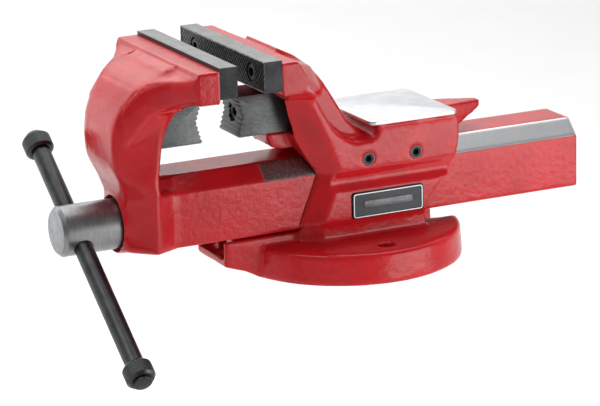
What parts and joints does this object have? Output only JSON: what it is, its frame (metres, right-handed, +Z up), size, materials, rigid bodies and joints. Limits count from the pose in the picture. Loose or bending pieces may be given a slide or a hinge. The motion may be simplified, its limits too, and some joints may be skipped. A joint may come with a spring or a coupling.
{
  "type": "bench vise",
  "caption": "Bench vise on a round bolt-down base, with a square slide, flat and pipe jaws, an anvil with a pick, and a sliding handle on a screw spindle.",
  "frame": {"origin": "centre of the round base, on its underside, midway between the two bench bolt holes", "axes": "+Z up, -X towards the handle, +X towards the tail of the slide, -Y the badge side"},
  "size_m": [0.423, 0.2116, 0.2142],
  "materials": {
    "red_enamel": "gloss red enamel on cast steel, with machined bare areas",
    "jaw_steel": "black oxide hardened steel, ground top",
    "pipe_steel": "satin grey hardened steel",
    "bright_steel": "turned bright steel",
    "bar_steel": "satin dark drawn bar",
    "black_oxide": "black oxide fasteners and knurled caps",
    "bronze": "satin bronze bearing metal",
    "spring_steel": "oiled spring steel",
    "badge": "black plate with a silver rim"
  },
  "bodies": {
    "fixed_body": {"fixed_body": "red_enamel", "fixed_jaw_plate": "jaw_steel", "fixed_plate_screws": "black_oxide", "fixed_pipe_jaw": "pipe_steel", "fixed_pipe_screw": "black_oxide", "guide_gib_near": "bronze", "guide_gib_far": "bronze", "gib_screws_near": "black_oxide", "gib_screws_far": "black_oxide", "badge_plate": "badge", "spindle_nut": "bronze", "nut_bolt": "black_oxide", "nut_washer": "bright_steel"},
    "moving_jaw": {"moving_jaw": "red_enamel", "moving_jaw_plate": "jaw_steel", "moving_plate_screws": "black_oxide", "moving_pipe_jaw": "pipe_steel", "moving_pipe_screw": "black_oxide", "thrust_washer": "bright_steel", "inner_washer": "bright_steel"},
    "spindle": {"spindle": "bright_steel", "return_spring": "spring_steel", "retaining_collar": "bar_steel", "collar_pin": "bar_steel"},
    "handle": {"handle_bar": "bar_steel", "handle_cap_upper": "black_oxide", "handle_cap_lower": "black_oxide"}
  },
  "joints": [
    {"name": "jaw_slide", "type": "slide", "parent": "fixed_body", "child": "moving_jaw", "axis": [-1, 0, 0], "range_m": [-0.0205, 0.13]},
    {"name": "spindle_turn", "type": "hinge", "parent": "moving_jaw", "child": "spindle", "pos_m": [-0.22, 0, 0.0515], "axis": [-1, 0, 0], "range_deg": [-1474, 9358]},
    {"name": "handle_slide", "type": "slide", "parent": "spindle", "child": "handle", "axis": [0, -0.8192, -0.5736], "range_m": [-0.1095, 0.0575]}
  ],
  "couplings": [
    {"joint": "jaw_slide", "follows": "spindle_turn", "m_per_rad": 0.00079577}
  ]
}
